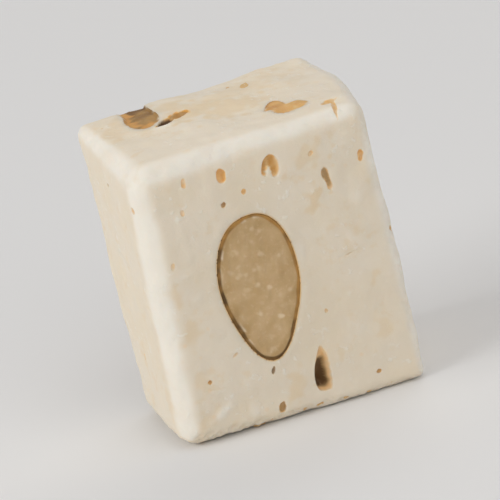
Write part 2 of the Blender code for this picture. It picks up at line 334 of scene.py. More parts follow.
def relax_sideways(rows, tris, passes):
    """Even out the spacing of the vertices without moving them off the surface."""
    edges = edge_table(tris, len(rows))[0]
    for _ in range(passes):
        points, normals = rows[:, :3], rows[:, 3:6]
        step = neighbour_mean(points, edges) - points
        step -= normals * (step * normals).sum(axis=1, keepdims=True)
        rows = np.hstack((points + 0.5 * step, normals))
    return rows


LONG_EDGE = 1.4  # an edge is halved when it is this many times too long
RELAX_PASSES = 2


def refine(rows, tris, wanted_size):
    """Halve every edge that is much longer than the size wanted there."""
    for _ in range(MESH_ROUNDS):
        edges, sides = edge_table(tris, len(rows))
        start, end = rows[edges[:, 0]], rows[edges[:, 1]]
        length = np.linalg.norm(start[:, :3] - end[:, :3], axis=1)
        marked = length > LONG_EDGE * wanted_size((start + end) / 2)
        rows, tris = split_edges(rows, tris, edges, sides, marked, np.full(marked.sum(), 0.5))
        rows[:, 3:6] = unit(rows[:, 3:6])
        rows = relax_sideways(rows, tris, RELAX_PASSES)
    return rows, tris


NEAR_END = 0.25  # a crossing this close to an edge's end moves the end there


def cut_along(rows, tris, field):
    """Give the mesh vertices exactly along the line where the field is zero."""
    edges, sides = edge_table(tris, len(rows))
    level = field(rows)
    start, end = level[edges[:, 0]], level[edges[:, 1]]
    crossing = start * end < 0
    share = np.where(crossing, start / np.where(crossing, start - end, 1.0), 0.5)
    for near, far, close in ((0, 1, share < NEAR_END), (1, 0, share > 1 - NEAR_END)):
        moved = crossing & close
        part = share[moved] if near == 0 else 1.0 - share[moved]
        origin, goal = rows[edges[moved, near]], rows[edges[moved, far]]
        rows[edges[moved, near]] = origin + (goal - origin) * part[:, None]
        level[edges[moved, near]] = 0.0
    start, end = level[edges[:, 0]], level[edges[:, 1]]
    marked = start * end < 0
    share = (start[marked] / (start[marked] - end[marked])).clip(0.05, 0.95)
    rows, tris = split_edges(rows, tris, edges, sides, marked, share)
    rows[:, 3:6] = unit(rows[:, 3:6])
    return rows, tris


def waves(points, length, seed, count=26):
    """Smooth random field of about unit spread, with features about that long.

    Each use has its own seed, so that no two fields are alike.
    """
    rng = np.random.default_rng(SEED * 1000 + seed)
    pitch = math.tau / (length * rng.uniform(1.2, 2.6, count))
    direction = unit(rng.normal(size=(count, 3))) * pitch[:, None]
    phase = rng.uniform(0, math.tau, count)
    return np.sin(points @ direction.T + phase).sum(axis=1) * math.sqrt(2 / count)


def smooth_step(values, low, high):
    """0 up to low and 1 from high on, with a smooth rise between them."""
    part = ((values - low) / (high - low)).clip(0, 1)
    return part * part * (3 - 2 * part)


def bell(distance, width=1.0):
    """1 in the middle, falling off smoothly over about the width."""
    return np.exp(-((distance / width) ** 2))


# ---- the outer form of the block
def add_object(name, data):
    """Make an object of some data and put it in the scene."""
    item = bpy.data.objects.new(name, data)
    bpy.context.scene.collection.objects.link(item)
    return item


def hull_object(node):
    """The convex outer form of a CAD node, in millimetres, as a new object."""
    bm = bmesh.new()
    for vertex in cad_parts[node].data.vertices:
        bm.verts.new(vertex.co / MM)
    made = bmesh.ops.convex_hull(bm, input=bm.verts[:])
    spare = set(made["geom_interior"] + made["geom_unused"])
    verts = [part for part in spare if isinstance(part, bmesh.types.BMVert)]
    bmesh.ops.delete(bm, geom=verts, context="VERTS")
    mesh = bpy.data.meshes.new("hull")
    bm.to_mesh(mesh)
    bm.free()
    return add_object("hull", mesh)


def outer_form():
    """Even mesh of the block without its pockets, as rows of point and normal."""
    item = hull_object("nougat_block")
    remesh = item.modifiers.new("even", "REMESH")
    remesh.mode = "VOXEL"
    remesh.voxel_size = FLAT_MESH
    points, tris = evaluated(item)
    bpy.data.objects.remove(item)
    points = even_out(points, tris, FORM_PASSES)
    return np.hstack((points, vertex_normals(points, tris))), tris


form_rows, form_tris = outer_form()
form_tree = BVHTree.FromPolygons(form_rows[:, :3].tolist(), form_tris.tolist())


# ---- outlines on the surface
LEAST_RADIUS = 0.15
RADIUS_SAMPLES = 90
SIDE_REACH = 0.6  # how far an outline acts above and below its plane, for its half length
LEAST_REACH = 1.0  # the same at least, in millimetres


class Outline:
    """A closed, rounded outline on the block: the rim of a nut or of a bubble.

    level is 0 in the middle and 1 on the outline. reach is the distance outside it.
    """

    def __init__(self, centre, along, outward, half_length, half_width, wobble=(), trace=None):
        self.centre = np.array(centre)
        self.outward = unit(np.array(outward))
        self.across = unit(np.cross(np.array(along), self.outward))
        self.along = np.cross(self.outward, self.across)
        self.half_length = half_length
        self.half_width = half_width
        self.wobble = list(wobble)
        self.trace = trace
        self.side_reach = max(LEAST_REACH, SIDE_REACH * half_length)

    def radius(self, turn):
        """The outline's radius in its own plane, scaled so that an ellipse is 1."""
        total = np.ones_like(turn)
        if self.trace is not None:
            total = np.interp(turn, *self.trace, period=math.tau)
        for order, (even, odd) in enumerate(self.wobble, start=1):
            total = total + even * np.cos(order * turn) + odd * np.sin(order * turn)
        return total.clip(LEAST_RADIUS)

    def widest(self):
        """The largest radius."""
        return self.radius(np.linspace(0, math.tau, RADIUS_SAMPLES)).max()

    def place(self, level, turn):
        """Point in the outline's plane."""
        size = level * self.radius(turn)
        return (
            self.centre
            + np.multiply.outer(size * np.cos(turn) * self.half_length, self.along)
            + np.multiply.outer(size * np.sin(turn) * self.half_width, self.across)
        )

    def measure(self, points):
        """Level, distance outside the outline in millimetres, and turn round the middle."""
        offset = points - self.centre
        along = offset @ self.along / self.half_length
        across = offset @ self.across / self.half_width
        size = np.hypot(along, across).clip(1e-6)
        turn = np.arctan2(across, along)
        level = size / self.radius(turn)
        slope = np.hypot(along / self.half_length, across / self.half_width) / size
        reach = (size - size / level) / slope
        return level, reach, turn

    def nearby(self, points, margin):
        """Numbers of the points within a margin of the outline."""
        offset = points - self.centre
        limit = max(self.half_length, self.half_width) * self.widest() + margin
        close = (offset * offset).sum(axis=1) < limit ** 2
        close &= np.abs(offset @ self.outward) < self.side_reach
        return np.flatnonzero(close)

    def measure_near(self, points, margin):
        """Numbers of the points within a margin, and their level, reach and turn."""
        near = self.nearby(points, margin)
        return near, *self.measure(points[near])


def random_wobble(seed, size, orders=5):
    """Uneven outline: a few random waves round it, the short ones weaker."""
    rng = np.random.default_rng(SEED * 77 + seed)
    return [tuple(rng.normal(size=2) * size / order) for order in range(1, orders + 1)]


def fitted_wobble(outline, rim, orders):
    """Waves round an ellipse that follow the rim points."""
    level, _, turn = outline.measure(rim)
    columns = []
    for order in range(1, orders + 1):
        columns += [np.cos(order * turn), np.sin(order * turn)]
    found = np.linalg.lstsq(np.stack(columns, axis=1), level - 1, rcond=None)[0]
    return [tuple(pair) for pair in found.reshape(-1, 2)]


FAR_OFF = 100.0  # well outside the block


def surface_at(face, across, up):
    """Point and outward normal of the block's surface at a place on a face."""
    axes = [np.array(axis, float) for axis in FACES[face]]
    start = DATUM + axes[0] * across + axes[1] * up
    start = start - axes[2] * (start @ axes[2]) + axes[2] * FAR_OFF
    point, normal = form_tree.ray_cast(Vector(start), Vector(-axes[2]))[:2]
    if point is None:
        point, normal = form_tree.find_nearest(Vector(start - axes[2] * FAR_OFF))[:2]
    return np.array(point), np.array(normal)


def face_outline(face, across, up, length, width, turn, wobble=()):
    """Outline on a face. Turn is from up towards across, in degrees."""
    centre, normal = surface_at(face, across, up)
    sideways, upward = (np.array(axis, float) for axis in FACES[face][:2])
    angle = math.radians(turn)
    along = upward * math.cos(angle) + sideways * math.sin(angle)
    return Outline(centre, along, normal, length / 2, width / 2, wobble)


CURVE_STEPS = 12


def smooth_loop(corners):
    """Points along a smooth closed curve through the corners."""
    part = np.arange(CURVE_STEPS)[:, None] / CURVE_STEPS
    spans = []
    for number in range(len(corners)):
        before, start, end, after = (corners[(number + step) % len(corners)] for step in range(4))
        spans.append(
            start * (2 * part ** 3 - 3 * part ** 2 + 1)
            + (end - before) / 2 * (part ** 3 - 2 * part ** 2 + part)
            + end * (3 * part ** 2 - 2 * part ** 3)
            + (after - start) / 2 * (part ** 3 - part ** 2)
        )
    return np.vstack(spans)


def traced_outline(rim, heart=None):
    """Outline through places on each face. heart is its middle, where the rim doesn't give it."""
    found = [surface_at(face, *place) for face, places in rim.items() for place in places]
    loop = smooth_loop(np.array([point for point, _ in found]))
    outward = unit(np.mean([normal for _, normal in found], axis=0))
    offset = loop - loop.mean(axis=0)
    along = np.linalg.eigh(offset.T @ offset)[1][:, 2]
    along = along * math.copysign(1.0, along.sum())
    centre = loop.mean(axis=0) if heart is None else surface_at(*heart)[0]
    flat = Outline(centre, along, outward, 1.0, 1.0)
    half = [np.ptp(offset @ axis) / 2 for axis in (flat.along, flat.across)]
    outline = Outline(centre, along, outward, *half)
    level, _, turn = outline.measure(loop)
    outline.trace = (turn, level)
    return outline


# ---- rims of the nuts
CAP_DISTANCE = 0.35  # a nut's cut face lies this close under the block's surface
CAP_ALIGNMENT = 0.85  # and faces the same way
RIM_ORDERS = 6


def welded(node):
    """Points and triangles of a CAD node, in millimetres, with the doubled points joined."""
    points, tris = evaluated(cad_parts[node])
    keys, number = np.unique(np.round(points / MM, 4), axis=0, return_inverse=True)
    return keys, number.reshape(-1)[tris]


def cut_face(points, tris):
    """The triangles that the knife left flush with the block, and their normals."""
    normals = face_normals(points, tris)
    flush = []
    for middle, normal in zip(points[tris].mean(axis=1), unit(normals)):
        _, outward, _, distance = form_tree.find_nearest(Vector(middle))
        flush.append(distance < CAP_DISTANCE and outward.dot(Vector(normal)) > CAP_ALIGNMENT)
    return tris[flush], normals[flush]


def cad_rim(points, tris, normals):
    """Outline round a nut's cut face."""
    outward = unit(normals.sum(axis=0))
    areas = np.linalg.norm(normals, axis=1)[:, None]
    middles = points[tris].mean(axis=1)
    centre = (middles * areas).sum(axis=0) / areas.sum()
    offset = middles - centre
    along = np.linalg.eigh((offset * areas).T @ offset)[1][:, 2]
    along = along * math.copysign(1.0, along[2] + along[0])
    edges, sides = edge_table(tris, len(points))
    rim = points[np.unique(edges[np.bincount(sides.ravel(), minlength=len(edges)) == 1])]
    flat = Outline(centre, along, outward, 1.0, 1.0)
    half = []
    for axis in (flat.along, flat.across):
        extent = (rim - centre) @ axis
        half.append(np.ptp(extent) / 2)
        centre = centre + axis * (extent.max() + extent.min()) / 2
    outline = Outline(centre, along, outward, *half)
    outline.wobble = fitted_wobble(outline, rim, RIM_ORDERS)
    return outline


class Nut:
    """One nut: its CAD node, its rim in the nougat and how deep it goes."""

    def __init__(self, number, row):
        self.node, self.kind, ragged, self.recess, self.scorch, self.gaps = row
        self.number = number
        points, tris = welded(self.node)
        if self.node in BROKEN_RIMS:
            self.rim = traced_outline(BROKEN_RIMS[self.node])
        else:
            self.rim = cad_rim(points, *cut_face(points, tris))
        before = self.rim.wobble or [(0.0, 0.0)] * RIM_ORDERS
        extra = random_wobble(number, ragged, RIM_ORDERS)
        self.rim.wobble = [tuple(np.add(*pair)) for pair in zip(before, extra)]
        self.depth = -((points - self.rim.centre) @ self.rim.outward).min()
        self.broken = self.node in BROKEN_RIMS
        self.lip = BROKEN_LIP if self.broken else LIP
        self.mesh = RIM_MESH


MESH_PER_BUBBLE = 0.16  # mesh size at a bubble's rim, for each millimetre of half its width
STEEP_DEPTH = 0.8  # bubbles deeper than this share of half their width get a finer mesh
ROUND_FLOOR = 0.5  # power that rounds the floor of a bubble
POINTED_FLOOR = 0.8  # power for one whose sides run down to its deepest place
TONGUE_RISE = (0.55, 1.35)  # levels round a tongue between which the bubble regains its depth


class Bubble:
    """An air bubble that the knife opened."""

    def __init__(self, rim, depth, steepness, amber, painted_shade, tongue=None):
        self.rim = rim
        self.depth = depth
        self.steepness = steepness
        self.amber = amber
        self.painted_shade = painted_shade
        self.tongue = tongue
        size = min(rim.half_length, rim.half_width)
        steep = max(0.0, depth / size - STEEP_DEPTH)
        self.mesh = max(FINE_RIM_MESH, min(RIM_MESH, MESH_PER_BUBBLE * size) / (1 + steep))

    def share(self, points, level):
        """Share of the full depth, from 1 at the deepest place to 0 at the rim."""
        floor = ROUND_FLOOR if self.steepness > 1 else POINTED_FLOOR
        share = (1 - level ** self.steepness).clip(0) ** floor
        if self.tongue is not None:
            share = share * smooth_step(self.tongue.measure(points)[0], *TONGUE_RISE)
        return share


BUBBLE_WOBBLE = 0.055  # how uneven the round bubbles are
BUBBLE_STEEPNESS = 2.6
EDGE_MARGIN = 1.0  # scattered things keep this far from the block's edges
RIM_MARGIN = 1.2  # and this far from the nuts and bubbles


def free_places(face, count, rng, clear):
    """Random places on a face, away from its edges and from the rims to keep clear of."""
    axes = np.array(FACES[face][:2])
    low, high = axes @ (BOX_LOW - DATUM) + EDGE_MARGIN, axes @ (BOX_HIGH - DATUM) - EDGE_MARGIN
    found = []
    while len(found) < count:
        place = tuple(rng.uniform(low, high))
        point = surface_at(face, *place)[0][None, :]
        near = [rim for rim in clear if len(rim.nearby(point, 2 * RIM_MARGIN))]
        if all(rim.measure(point)[1][0] > RIM_MARGIN for rim in near):
            found.append(place)
    return found


def scattered(counts, rng, clear):
    """Random places, as face, across and up, with a count for each face."""
    for face, count in counts.items():
        for place in free_places(face, count, rng, clear):
            yield face, *place


def all_bubbles(clear):
    """Every bubble: the named ones, those of uneven shape and the scattered pores."""
    found = []
    for number, (face, across, up, length, width, depth, turn, amber, painted_shade) in enumerate(BUBBLES):
        wobble = random_wobble(300 + number, BUBBLE_WOBBLE)
        rim = face_outline(face, across, up, length, width, turn, wobble)
        found.append(Bubble(rim, depth, BUBBLE_STEEPNESS, amber, painted_shade))
    for face, rim, heart, depth, steepness, amber, painted_shade, tongue in ODD_BUBBLES:
        outline = traced_outline({face: rim}, (face, *heart))
        if tongue is not None:
            tongue = face_outline(face, *tongue)
        found.append(Bubble(outline, depth, steepness, amber, painted_shade, tongue))
    rng = np.random.default_rng(SEED + 40)
    clear = clear + [bubble.rim for bubble in found]
    for place in scattered(PORES, rng, clear):
        length = rng.uniform(*PORE_LENGTH) ** PORE_POWER
        width = length * rng.uniform(*PORE_WIDTH)
        wobble = random_wobble(int(rng.integers(10 ** 6)), BUBBLE_WOBBLE)
        rim = face_outline(*place, length, width, rng.uniform(0, 180), wobble)
        amber, painted_shade = rng.uniform(*PORE_AMBER), rng.uniform(*PORE_SHADE)
        found.append(Bubble(rim, PORE_DEPTH * width, BUBBLE_STEEPNESS, amber, painted_shade))
    return found


# ---- shaping the nougat
LIP = 0.06  # how far the nougat sinks at a rim
LIP_WIDTH = 0.22
BROKEN_LIP = 0.01  # the same at a broken nut
BUBBLE_LIP = 0.018  # and at a bubble
BUBBLE_LIP_WIDTH = 0.12
SWELL_BY_NUT = 0.05  # low ridge of pressed nougat round a nut
SWELL_DISTANCE = 0.8
SWELL_WIDTH = 0.45
SHADE_BY_NUT = 1.3  # how far the painted shade on the nougat reaches round a nut
PALE_PER_HEIGHT = 4.0  # how pale a smear is, for each millimetre of its height: pale flakes, and painted highlight where it is raised
RIM_STAIN = 0.60  # strength, at the rim, of the oil from a nut's skin in the nougat
RIM_STAIN_WIDTH = 0.12
POCKET_LEVEL = 1 - 1e-4  # where a nut's pocket drops away, just inside its outline
POCKET_AMBER = 0.8  # tints of a nut's pocket: its amber, and painted shade deep in it
POCKET_SHADE = 0.3
BUBBLE_GRAIN = 0.05
AMBER_EDGE = (0.82, 1.12)  # levels between which the amber of a bubble ends
TONGUE_EDGE = (0.1, 0.6)  # shares of its depth between which it ends at a tongue
SHADOW_START = 0.5  # share of its depth where a pale bubble's shadow starts
DARK_START = 0.12  # the same at least, however dark the bubble is
SHADOW_RISE = 0.3  # share of its depth over which the shadow comes in
SHADOW_STRENGTH = 1.6

# How far outside its outline each of these has any effect.
NUT_MARGIN = 4.0
BUBBLE_MARGIN = 1.5
SMEAR_MARGIN = 2.5
STAIN_AND_SHADE_MARGIN = 2.0

# Soft waves of the cut faces: height, length.
FACE_WAVES = ((0.090, 8.0), (0.050, 3.4), (0.022, 1.5), (0.008, 0.7))
# Fine marks that the knife dragged up the faces, in patches.
DRAG_HEIGHT = 0.015
DRAG_WIDTH = 1.1
DRAG_STRETCH = (1, 1, 0.10)
DRAG_PATCH = 9.0

# Edges between two faces: how ragged the knife left each, in millimetres, and how much painted sheen
# it gets.
EDGES = (
    ("back", "top", 0.20, 0.5),
    ("back", "right", 0.14, 0.5),
    ("back", "left", 0.12, 0.8),
    ("back", "base", 0.16, 0.0),
    ("front", "base", 0.14, 0.0),
    ("right", "base", 0.14, 0.0),
    ("left", "base", 0.08, 0.0),
    ("front", "right", 0.10, 0.8),
    ("right", "top", 0.07, 0.8),
    ("left", "top", 0.05, 1.0),
    ("front", "top", 0.03, 1.0),
    ("front", "left", 0.03, 1.0),
)
COARSE_TEAR = 1.3
FINE_TEAR = 0.6
# How well a normal lines up with an edge where the edge's effect starts, and where it is full.
EDGE_SPAN = (0.80, 0.97)
PALE_SPAN = (0.73, 0.97)
UNDERSIDE_SPAN = (0.70, 0.95)


def edge_weight(normals, first, second, span=EDGE_SPAN):
    """1 on the rounded edge between two faces, fading to 0 on the faces."""
    direction = unit(np.add(FACES[first][2], FACES[second][2]).astype(float))
    return smooth_step(normals @ direction, *span)


def smear_height(points):
    """Raised smears and shallow dents, each steeper on one side."""
    lift = np.zeros(len(points))
    for rim, height in smears:
        near, level, _, turn = rim.measure_near(points, SMEAR_MARGIN)
        skew = 1 + 0.45 * np.sin(turn)
        ragged = (1 + 0.25 * waves(points[near], 1.2, 33)).clip(0.7)
        lift[near] += height * bell(level * skew * ragged)
    return lift


def all_smears(clear):
    """Every smear and dent, as an outline and a height: the named ones and the flecks."""
    found = [(face_outline(*row[:6]), row[6]) for row in SMEARS]
    rng = np.random.default_rng(SEED + 80)
    for place in scattered(FLECKS, rng, clear):
        length = rng.uniform(*FLECK_LENGTH)
        width = max(FLECK_LENGTH[0], length * rng.uniform(*FLECK_WIDTH))
        height = rng.uniform(*FLECK_HEIGHT) * rng.choice((-1, 1))
        found.append((face_outline(*place, length, width, rng.uniform(0, 180)), height))
    return found


def relief(points, normals):
    """Height of the cut surface over the block's smooth form."""
    lift = smear_height(points)
    for number, (height, length) in enumerate(FACE_WAVES):
        lift += height * waves(points, length, number)
    patches = smooth_step(waves(points, DRAG_PATCH, 10), -0.5, 1)
    lift += DRAG_HEIGHT * waves(points * DRAG_STRETCH, DRAG_WIDTH, 9) * patches
    torn = np.abs(waves(points, COARSE_TEAR, 11)) + 0.5 * np.abs(waves(points, FINE_TEAR, 12))
    for first, second, height, _ in EDGES:
        lift -= height * torn * edge_weight(normals, first, second)
    underside = smooth_step(-normals[:, 2], *UNDERSIDE_SPAN)
    return lift * (1 - underside) - np.abs(lift) * underside


def stain_and_shade_strength(points):
    """How yellow the stains are, with the painted warm shade on the top."""
    strength = np.zeros(len(points))
    for rim, most in stains_and_warm_shade:
        near, level, _, _ = rim.measure_near(points, STAIN_AND_SHADE_MARGIN)
        level = level * (1 + 0.30 * waves(points[near], 0.9, 34))
        strength[near] = np.maximum(strength[near], most * (1 - smooth_step(level, 0.5, 1.3)))
    return strength


def sheen_and_flake_strength(points, normals):
    """How pale the raised smears are, partly painted highlight, and the painted sheen on the rounded
    edges.
    """
    strength = (PALE_PER_HEIGHT * smear_height(points)).clip(0, 1)
    for first, second, _, most in EDGES:
        sheen_and_flakes = most * edge_weight(normals, first, second, PALE_SPAN)
        sheen_and_flakes = sheen_and_flakes * (1 + 0.15 * waves(points, 2.5, 44))
        strength = np.maximum(strength, sheen_and_flakes.clip(0, 1))
    return strength


def nut_marks(nut, points):
    """Points near a nut, how far its pocket and rim lift them, and their tints."""
    near, level, reach, _ = nut.rim.measure_near(points, NUT_MARGIN)
    outside = reach.clip(0)
    lip = -nut.lip * bell(outside, LIP_WIDTH)
    lip += SWELL_BY_NUT * bell(outside - SWELL_DISTANCE, SWELL_WIDTH)
    body = nut.depth * np.sqrt((1 - level * level).clip(0))
    inside = level < POCKET_LEVEL
    amber = inside * POCKET_AMBER
    if not nut.broken:
        amber = np.maximum(amber, RIM_STAIN * np.exp(-outside / RIM_STAIN_WIDTH))
    return near, np.where(inside, -nut.lip - POCKET_CLEARANCE - body, lip), {
        # painted shade: the nougat is darker and greyer close to a nut
        "painted_shade_by_nut": np.exp(-outside / SHADE_BY_NUT),
        "amber": amber,
        # painted shade in the pocket
        "painted_shade": inside * POCKET_SHADE,
    }


def bubble_marks(bubble, points):
    """Points near a bubble, how far its hollow and rim lift them, and their tints."""
    near, level, reach, _ = bubble.rim.measure_near(points, BUBBLE_MARGIN)
    share = bubble.share(points[near], level)
    calm = 1 / (1 + bubble.depth)
    grain = BUBBLE_GRAIN * waves(points[near], 0.5, 40) * share.clip(0, 1)
    lip = BUBBLE_LIP * bell(reach.clip(0), BUBBLE_LIP_WIDTH) * (level >= 1)
    # amber: partly nut bits and partly painted warm bounce light in the hollow
    spread = 1 + 0.08 * calm * waves(points[near], 0.5, 41)
    amber_share = 1 - smooth_step(level * spread, *AMBER_EDGE)
    if bubble.tongue is not None:
        amber_share = amber_share * smooth_step(share, *TONGUE_EDGE)
    uneven = (1 + 0.22 * calm * waves(points[near], 0.5, 42)).clip(0.6, 1.3)
    # painted shade, coming in down the bubble's sides towards its depths
    start = max(DARK_START, SHADOW_START - 0.5 * bubble.painted_shade)
    ragged = share + 0.05 * waves(points[near], 0.6, 43)
    shadow = smooth_step(ragged, start, start + SHADOW_RISE)
    return near, -(bubble.depth * share - grain + lip), {
        "amber": (amber_share * uneven * bubble.amber).clip(0, 1),
        "painted_shade": (SHADOW_STRENGTH * shadow * bubble.painted_shade).clip(0, 1),
    }


def shape_block(rows):
    """Points of the nougat's surface, and the tints that vary over it."""
    points, normals = rows[:, :3], unit(rows[:, 3:6])
    push = normals * relief(points, normals)[:, None]
    tints = {name: np.zeros(len(points)) for name in ("amber", "painted_shade", "painted_shade_by_nut")}
    tints["sheen_and_flakes"] = sheen_and_flake_strength(points, normals)
    tints["stain_and_warm_shade"] = stain_and_shade_strength(points)
    for piece in nuts + bubbles:
        marks = nut_marks if isinstance(piece, Nut) else bubble_marks
        near, lift, marked = marks(piece, points)
        push[near] += lift[:, None] * piece.rim.outward
        for name, values in marked.items():
            tints[name][near] = np.maximum(tints[name][near], values)
    shaped = points + push
    shaped[:, 2] = shaped[:, 2].clip(0)
    return shaped, tints


def block_mesh_size(rows):
    """Mesh size wanted at places on the block: fine at rims and crisp edges."""
    points, normals = rows[:, :3], unit(rows[:, 3:6])
    size = np.full(len(rows), FLAT_MESH)
    for first, second, height, _ in EDGES:
        if height > CRISP_EDGE:
            size -= (FLAT_MESH - EDGE_MESH) * edge_weight(normals, first, second)
    for piece in nuts + bubbles:
        near, _, reach, _ = piece.rim.measure_near(points, MESH_MARGIN)
        size[near] = np.minimum(size[near], piece.mesh + MESH_GROWTH * np.abs(reach))
    return size


def rim_field(rows):
    """Distance outside the nearest rim, negative inside it."""
    field = np.full(len(rows), FAR_OFF)
    for piece in nuts + bubbles:
        near, _, reach, _ = piece.rim.measure_near(rows[:, :3], RIM_FIELD_MARGIN)
        field[near] = np.minimum(field[near], reach)
    return field


def block_surface():
    """Mesh of the nougat, and the tints that vary over it."""
    rows, tris = refine(form_rows, form_tris, block_mesh_size)
    rows, tris = cut_along(rows, tris, rim_field)
    points, tints = shape_block(rows)
    return points, tris, tints


# ---- shaping the nuts
RIM_RINGS = (0.0, 0.05, 0.11, 0.18, 0.27, 0.38, 0.50)  # inward from a nut's rim
RIM_SPACING = 0.10  # of the points along the rings
CAP_SPACING = 0.13  # of the points over the middle of a cut face
ROW_SHARE = 0.87  # the rows of a triangular grid lie closer than its points
TURN_STEPS = 721  # round an outline, where its length is measured
BODY_RINGS = 12  # round the part of a nut under its cut face
NUT_WAVES = ((0.040, 2.6), (0.012, 0.9), (0.006, 0.35))  # height, length
BROKEN_WAVES = 1.7  # how much rougher a broken nut's face is
BROKEN_SINK = 0.03  # how far its rim lies under the nougat
SKIN_WIDTH = {"almond": 0.44, "toasted": 0.36, "roasted": 0.30, "browned": 1.7}
SKIN_EDGE = 0.08  # how softly the skin ends inward
SCORCH = 0.42  # how dark it is on average, and how far that varies round the nut
GROOVE = 0.035  # between the skin and the flesh
GROOVE_WIDTH = 0.07
BEVEL = 0.08  # rounding of the cut face's edge
BEVEL_WIDTH = 0.12
GAP_SPREAD = math.radians(11.0)  # how far a pale gap runs round the nut, to either side
GAP_DISTANCE = 0.12  # how far inside the skin it lies
GAP_WIDTH = 0.16
SMEARED_RIM = (0.04, 0.34)  # how far in pale nougat covers the rim of a broken nut
RIMWARD_WIDTH = 1.3  # how far the deeper colour reaches in from the skin
SPECKS_PER_AREA = 0.45
SPECK_RADIUS = (0.30, 0.55)
CLEAR_SPECK_RADIUS = 0.5
FAINT_SPECK = (0.15, 0.45)  # strength
SPECK_HEIGHT = 0.02
# The clearest specks of the front almond: across and along from its middle, strength.
FRONT_ALMOND_SPECKS = (
    (1.1, 7.5, 0.45), (-2.2, 5.4, 0.40), (0.9, 4.5, 0.50), (-2.6, 2.2, 0.45), (-0.3, 2.6, 0.45),
    (-0.2, 0.6, 0.65), (1.2, -0.1, 0.65), (-1.6, 0.3, 0.40), (-0.6, -3.3, 0.75), (2.0, -4.3, 1.0),
)
HAZELNUT_HOLLOW = (5.2, 2.0, 1.3, 35.0)  # length, width, depth, turn


def evenly_round(outline, spacing):
    """Turns that space points evenly round an outline."""
    turn = np.linspace(0, math.tau, TURN_STEPS)
    step = np.linalg.norm(np.diff(outline.place(np.ones_like(turn), turn), axis=0), axis=1)
    run = np.concatenate(([0.0], np.cumsum(step)))
    count = int(run[-1] / spacing)
    return np.interp(np.arange(count) / count * run[-1], run, turn)


def rim_rings(outline, spacing):
    """Rings of points inward from a rim, as plane coordinates along and across."""
    turn = evenly_round(outline, spacing)
    rim = outline.place(np.ones_like(turn), turn) - outline.centre
    flat = np.stack((rim @ outline.along, rim @ outline.across), axis=1)
    tangent = unit(np.roll(flat, -1, axis=0) - np.roll(flat, 1, axis=0))
    inward = np.stack((-tangent[:, 1], tangent[:, 0]), axis=1)
    return turn, [flat + inward * distance for distance in RIM_RINGS]


def inner_points(outline, spacing):
    """Triangular grid of points over the middle of an outline."""
    length, width = outline.half_length * outline.widest(), outline.half_width * outline.widest()
    rows = np.arange(-length, length, spacing * ROW_SHARE)
    columns = np.arange(-width, width, spacing)
    along, across = np.meshgrid(rows, columns, indexing="ij")
    across = across + (np.arange(len(rows)) % 2)[:, None] * spacing / 2
    flat = np.stack((along.ravel(), across.ravel()), axis=1)
    points = outline.centre + flat @ np.stack((outline.along, outline.across))
    return flat[outline.measure(points)[1] < -RIM_RINGS[-1] - spacing / 2]


RAY_START = 6.0  # how far outside a nut's plane the lines to the block start


def on_form(points, outward):
    """Where lines along outward through the points meet the block, with its normals there."""
    places, normals = [], []
    for point in points:
        start = Vector(point + outward * RAY_START)
        place, normal = form_tree.ray_cast(start, Vector(-outward))[:2]
        if place is None:
            place, normal = form_tree.find_nearest(start)[:2]
        places.append(place)
        normals.append(normal)
    return np.array(places), np.array(normals)


def nut_surface(nut):
    """Closed mesh of a nut, and the tints that vary over it."""
    rim = nut.rim
    shrink = 1 - (BROKEN_CLEARANCE if nut.broken else NUT_CLEARANCE) / rim.half_width
    turn, rings = rim_rings(rim, RIM_SPACING)
    flat = np.vstack([ring * shrink for ring in rings] + [inner_points(rim, CAP_SPACING)])
    count = len(turn)
    loop = [(index, (index + 1) % count) for index in range(count)]
    corners = [Vector(place) for place in flat]
    made = delaunay_2d_cdt(corners, loop, [], 1, 1e-6)
    same_place = np.array([origin[0] for origin in made[3]])
    cap = same_place[np.array(made[2])]
    plane = rim.centre + flat @ np.stack((rim.along, rim.across))
    places, normals = on_form(plane, rim.outward)
    _, reach, around = rim.measure(plane)
    height, tints = cut_face_finish(nut, places, -reach.clip(None, 0), around)
    height = height + relief(places, normals)
    points = places + height[:, None] * rim.outward
    points[:, 2] = points[:, 2].clip(0)
    points, tris = close_below(nut, points, cap, count)
    for name in tints:
        extra = np.full(len(points) - len(places), 1.0 if name == "skin" else 0.0)
        tints[name] = np.concatenate((tints[name], extra))
    return points, tris, tints


def bearing(turn, direction):
    """Angle between turns round an outline and a direction in degrees, from 0 to pi."""
    return np.abs((turn - math.radians(direction) + math.pi) % math.tau - math.pi)


def speck_places(nut):
    """Specks on a nut's cut face: across, along, radius and strength."""
    rng = np.random.default_rng(SEED * 13 + nut.number)
    count = int(SPECKS_PER_AREA * nut.rim.half_length * nut.rim.half_width)
    places = []
    for _ in range(count):
        size, turn = math.sqrt(rng.uniform(0.0, 0.75)), rng.uniform(0.0, math.tau)
        across = size * math.sin(turn) * nut.rim.half_width
        along = size * math.cos(turn) * nut.rim.half_length
        places.append((across, along, rng.uniform(*SPECK_RADIUS), rng.uniform(*FAINT_SPECK)))
    if nut.node == "almond_front":
        clear = FRONT_ALMOND_SPECKS
        places += [(across, along, CLEAR_SPECK_RADIUS, most) for across, along, most in clear]
    return places


def speck_strength(nut, places):
    """Pale ragged specks over a nut's cut face."""
    offset = places - nut.rim.centre
    across, along = offset @ nut.rim.across, offset @ nut.rim.along
    ragged = 1 + 0.22 * waves(places, 0.4, 67 + 10 * nut.number)
    strength = np.zeros(len(places))
    for speck_across, speck_along, radius, most in speck_places(nut):
        distance = np.hypot(across - speck_across, along - speck_along) * ragged
        strength = np.maximum(strength, most * (1 - smooth_step(distance, 0.2 * radius, radius)))
    return strength


